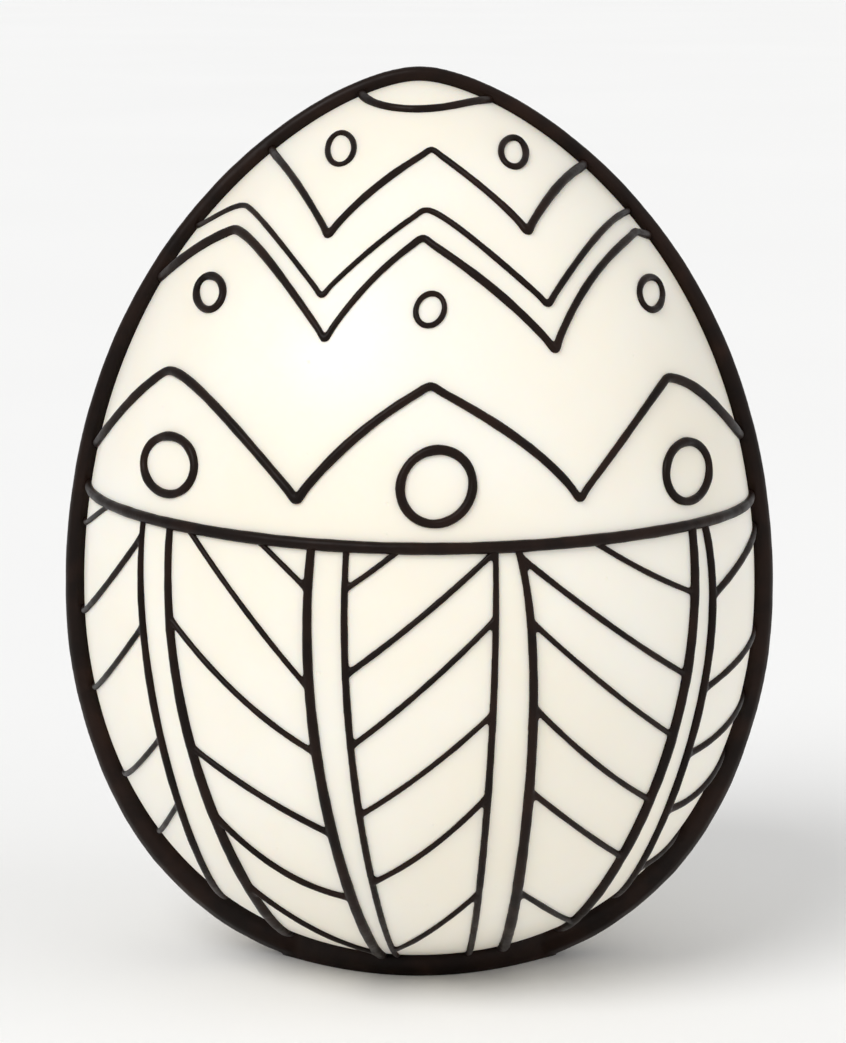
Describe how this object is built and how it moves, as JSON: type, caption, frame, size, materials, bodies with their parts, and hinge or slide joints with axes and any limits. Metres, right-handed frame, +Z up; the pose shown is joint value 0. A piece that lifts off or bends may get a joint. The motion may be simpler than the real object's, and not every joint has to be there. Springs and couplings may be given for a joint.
{
  "type": "chocolate egg",
  "caption": "Upright moulded egg of white chocolate with dark chocolate piped over its seam and in zigzags, rings and a leaf-veined lower half, standing on a small flat foot.",
  "frame": {"origin": "middle of the underside of the foot, on the surface that the egg stands on", "axes": "+Z up through the tip; -Y is the decorated front, and the seam with its border lies in the XZ plane"},
  "size_m": [0.1102, 0.1046, 0.1394],
  "materials": {
    "white_chocolate": "smooth moulded white chocolate with a soft satin gloss",
    "dark_chocolate": "piped dark chocolate, nearly black, glossy and a little uneven"
  },
  "bodies": {
    "root": {"egg": "white_chocolate"}
  },
  "joints": []
}
